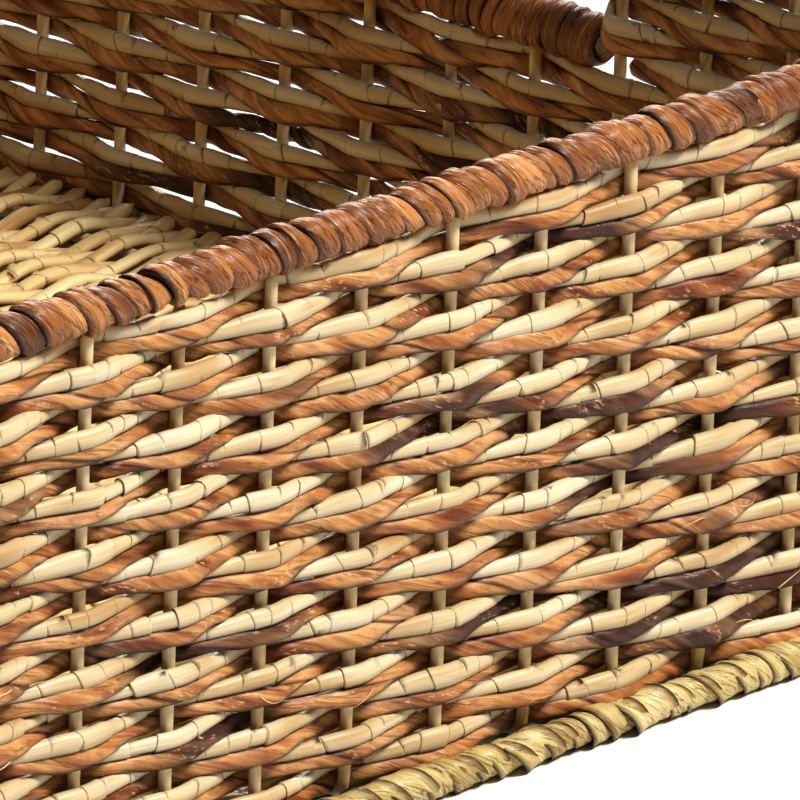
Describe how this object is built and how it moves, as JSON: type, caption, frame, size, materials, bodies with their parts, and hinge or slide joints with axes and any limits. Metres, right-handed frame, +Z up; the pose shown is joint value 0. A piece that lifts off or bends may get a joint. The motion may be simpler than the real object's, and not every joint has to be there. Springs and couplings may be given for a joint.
{
  "type": "bread basket",
  "caption": "Rectangular hand-woven bread basket with cane stakes, two-tone siding, a wrapped rim and foot, a woven base and finger openings in the short walls.",
  "frame": {"origin": "on the surface that the basket stands on, under the middle of the basket", "axes": "+X along the long side, +Y along the short side, +Z up"},
  "size_m": [0.4806, 0.4286, 0.1364],
  "materials": {
    "cane_stake": "round peeled cane, satin, pale tan",
    "siding_strands": "pairs of a pale peeled strand and a twisted brown bark strand, satin",
    "base_strand": "pale peeled strands with fine cross cracks, satin",
    "rim_leaf": "wrinkled brown leaf strips, satin with worn highlights",
    "foot_leaf": "pale yellow leaf strips, satin",
    "core_cane": "plain cane core, hidden under its wrap"
  },
  "bodies": {
    "root": {"stake_across_01": "cane_stake", "stake_across_02": "cane_stake", "stake_across_03": "cane_stake", "stake_across_04": "cane_stake", "stake_across_05": "cane_stake", "stake_across_06": "cane_stake", "stake_across_07": "cane_stake", "stake_across_08": "cane_stake", "stake_across_09": "cane_stake", "stake_across_10": "cane_stake", "stake_across_11": "cane_stake", "stake_across_12": "cane_stake", "stake_across_13": "cane_stake", "stake_across_14": "cane_stake", "stake_across_15": "cane_stake", "stake_across_16": "cane_stake", "stake_across_17": "cane_stake", "stake_along_01": "cane_stake", "stake_along_02": "cane_stake", "stake_along_03": "cane_stake", "stake_along_04": "cane_stake", "stake_along_05": "cane_stake", "stake_along_06": "cane_stake", "stake_along_07": "cane_stake", "stake_along_08": "cane_stake", "stake_along_09": "cane_stake", "stake_along_10": "cane_stake", "stake_along_11": "cane_stake", "stake_along_12": "cane_stake", "stake_along_13": "cane_stake", "stake_along_14": "cane_stake", "stake_along_15": "cane_stake", "corner_stake_1": "cane_stake", "corner_stake_2": "cane_stake", "corner_stake_3": "cane_stake", "corner_stake_4": "cane_stake", "siding_row_01": "siding_strands", "siding_row_02": "siding_strands", "siding_row_03": "siding_strands", "siding_row_04": "siding_strands", "siding_row_05": "siding_strands", "siding_row_06": "siding_strands", "siding_row_07": "siding_strands", "siding_row_08": "siding_strands", "siding_row_09": "siding_strands", "siding_row_10": "siding_strands", "handle_rows_front": "siding_strands", "handle_rows_back": "siding_strands", "base_weave": "base_strand", "rim_hoop": "core_cane", "rim_wrap": "rim_leaf", "foot_hoop": "core_cane", "foot_wrap": "foot_leaf", "handle_bar_left": "core_cane", "handle_wrap_left": "rim_leaf", "handle_bar_right": "core_cane", "handle_wrap_right": "rim_leaf"}
  },
  "joints": []
}
